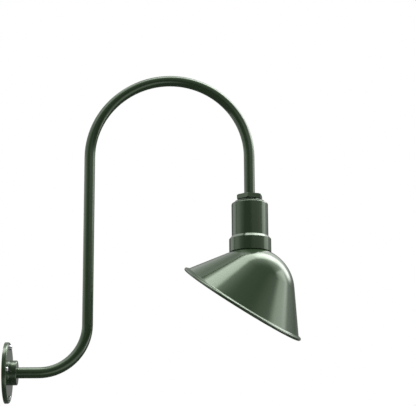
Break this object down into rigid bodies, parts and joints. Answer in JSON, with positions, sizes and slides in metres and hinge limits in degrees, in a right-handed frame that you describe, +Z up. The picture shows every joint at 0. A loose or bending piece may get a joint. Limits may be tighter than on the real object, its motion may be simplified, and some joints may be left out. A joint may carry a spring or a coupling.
{
  "type": "gooseneck wall light",
  "caption": "Gooseneck wall light: round wall plate, bent tube arm, cylindrical socket housing and an angled spun shade that turns on the arm's end.",
  "frame": {"origin": "centre of the mounting ring's back face, in the wall's plane, on the axis of the arm's stub", "axes": "+X away from the wall, +Z up, the arm bent in the XZ plane"},
  "size_m": [0.5725, 0.2595, 0.6598],
  "materials": {
    "arm_paint": "glossy dark green enamel paint on steel pipe",
    "plate_paint": "glossy dark green enamel paint on a casting",
    "housing_paint": "glossy dark green enamel paint on a casting",
    "shade_paint": "glossy dark green enamel outside, warm white enamel inside",
    "zinc_steel": "bright zinc plating",
    "black_steel": "black oxide",
    "earth_green": "green-tinted plating",
    "foam": "closed-cell foam",
    "gasket": "smooth black rubber",
    "porcelain": "white glaze",
    "brass": "plain brass",
    "nylon": "natural nylon",
    "lead_sleeve": "woven fibre sleeve",
    "lead_black": "black insulation",
    "lead_white": "white insulation",
    "splice_cap": "closed-end plastic cap",
    "bulb_glass": "clear glass",
    "cap_metal": "thin aluminium",
    "cap_glass": "black glass button",
    "solder": "dull solder",
    "tungsten": "drawn wire"
  },
  "bodies": {
    "arm": {"wall_plate": "plate_paint", "mounting_ring": "zinc_steel", "plate_screws": "zinc_steel", "plate_seal": "foam", "hub_set_screw": "black_steel", "ground_screw": "earth_green", "splice_caps": "splice_cap", "arm_tube": "arm_paint", "lead_sleeve": "lead_sleeve", "tube_bushing": "nylon"},
    "locknut": {"locknut": "housing_paint"},
    "head": {"socket_housing": "housing_paint", "shade_collar": "housing_paint", "collar_gasket": "gasket", "shade": "shade_paint", "socket_bracket": "zinc_steel", "bracket_screws": "zinc_steel", "socket_screws": "zinc_steel", "socket_body": "porcelain", "screw_shell": "brass", "centre_contact": "brass", "terminal_plates": "brass", "terminal_screws": "brass", "head_sleeve": "lead_sleeve", "line_lead": "lead_black", "neutral_lead": "lead_white"},
    "bulb": {"bulb_glass": "bulb_glass", "bulb_cap": "cap_metal", "bulb_insulator": "cap_glass", "bulb_contact": "solder", "bulb_stem": "bulb_glass", "bulb_filament": "tungsten"}
  },
  "joints": [
    {"name": "head_swivel", "type": "hinge", "parent": "arm", "child": "head", "pos_m": [0.4753, 0, 0.33], "axis": [0, 0, 1], "range_deg": [-175, 175]},
    {"name": "locknut_turn", "type": "hinge", "parent": "arm", "child": "locknut", "pos_m": [0.4753, 0, 0.345], "axis": [0, 0, 1], "range_deg": [0, 360]},
    {"name": "bulb_turn", "type": "hinge", "parent": "head", "child": "bulb", "pos_m": [0.4753, 0, 0.2485], "axis": [0, 0, -1], "range_deg": [0, 1080]}
  ]
}
